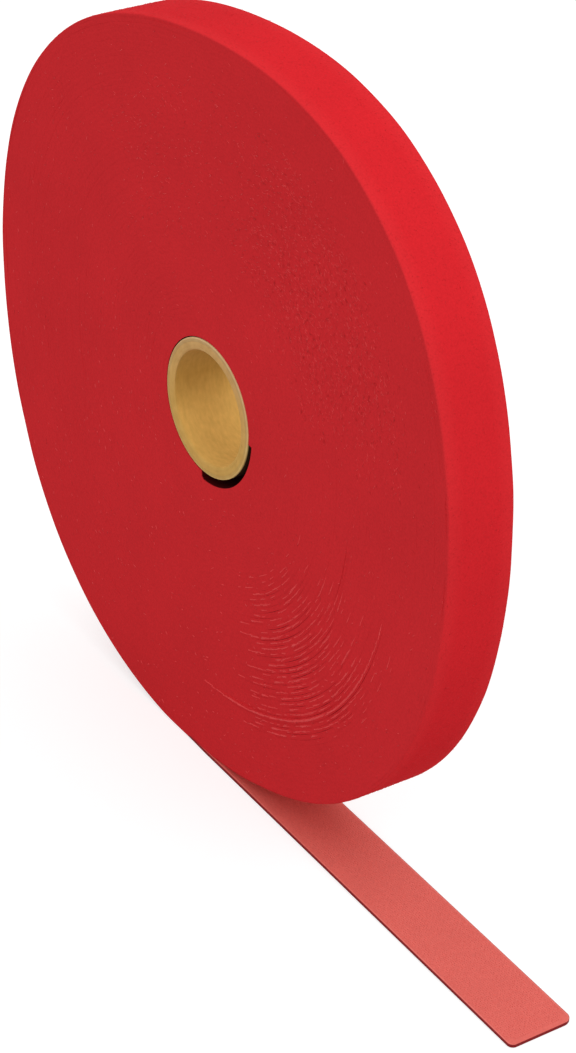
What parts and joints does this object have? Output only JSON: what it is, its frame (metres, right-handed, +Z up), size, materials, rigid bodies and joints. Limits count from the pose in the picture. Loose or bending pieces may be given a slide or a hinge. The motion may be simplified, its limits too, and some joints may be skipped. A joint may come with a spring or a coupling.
{
  "type": "hook and loop tape roll",
  "caption": "Roll of back-to-back hook and loop fastening tape wound on a paperboard core, standing on its rim with the free end of the tape laid out flat from under it.",
  "frame": {"origin": "on the floor, straight below the roll's axis, at the middle of the tape's width", "axes": "+Z up, +Y along the roll's axis, +X the way the free end of the tape runs out"},
  "size_m": [0.257, 0.02, 0.2128],
  "materials": {
    "core_board": "matt kraft board",
    "adhesive_strip": "double-sided adhesive strip",
    "tape_edges": "woven tape edges, matt",
    "loop_fabric": "brushed loop pile, matt",
    "hook_side": "fine nylon hooks, satin"
  },
  "bodies": {
    "roll": {"core_inner_ply": "core_board", "core_middle_ply": "core_board", "core_outer_ply": "core_board", "start_strip": "adhesive_strip", "inner_turns": "tape_edges", "wound_loop_layer": "loop_fabric", "wound_hook_layer": "hook_side"},
    "free_end": {"tail_loop_layer": "loop_fabric", "tail_hook_layer": "hook_side"}
  },
  "joints": [
    {"name": "free_end_bend", "type": "hinge", "parent": "roll", "child": "free_end", "pos_m": [0.045, 0, 0.001], "axis": [0, 1, 0], "range_deg": [-41, 0]}
  ]
}
